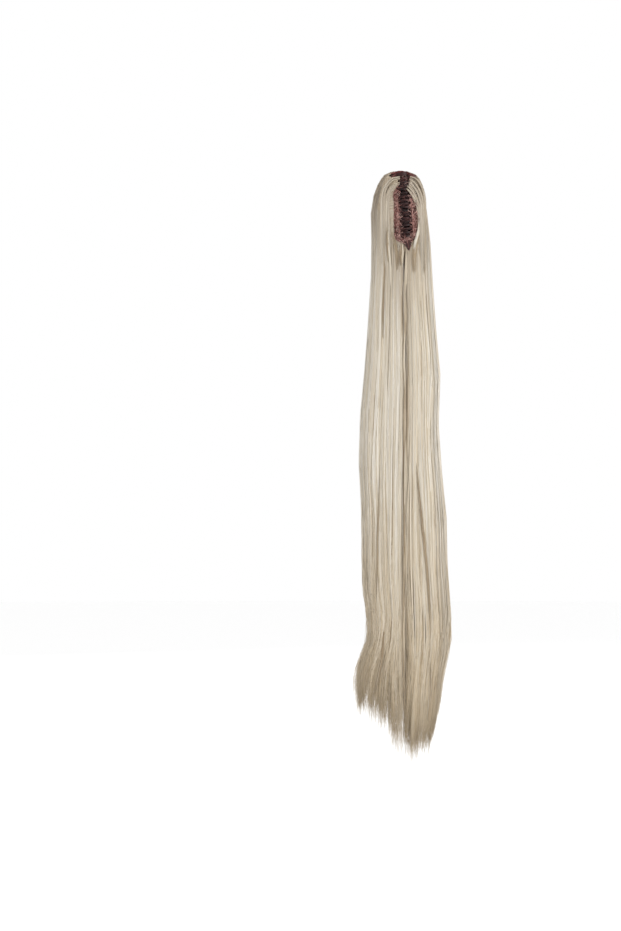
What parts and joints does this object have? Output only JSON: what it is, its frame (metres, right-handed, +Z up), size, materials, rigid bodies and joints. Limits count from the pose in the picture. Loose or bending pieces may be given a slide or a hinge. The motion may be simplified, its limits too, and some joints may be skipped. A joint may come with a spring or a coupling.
{
  "type": "claw-clip ponytail hairpiece",
  "caption": "Long straight ash-blond ponytail hairpiece hanging from a net-covered claw clip that bites on to the wearer's gathered hair.",
  "frame": {"origin": "middle of the claw's cavity, where the wearer's gathered hair is gripped", "axes": "+Z up, against the way the hair hangs; -Y towards the wearer's head, where the claw's teeth meet; +X to the right as seen from the head side"},
  "size_m": [0.1192, 0.056, 0.7502],
  "materials": {
    "hair": "ash-blond fibre hair, satin",
    "net": "fuzzy red-brown net",
    "claw": "glossy, very dark brown",
    "steel": "bright wire"
  },
  "bodies": {
    "root": {"claw_jaw_left": "claw", "claw_jaw_right": "claw", "hinge_pin": "steel", "clip_spring": "steel", "claw_net": "net", "weft_band_left": "hair", "weft_band_right": "hair", "hair_tail": "hair"}
  },
  "joints": []
}
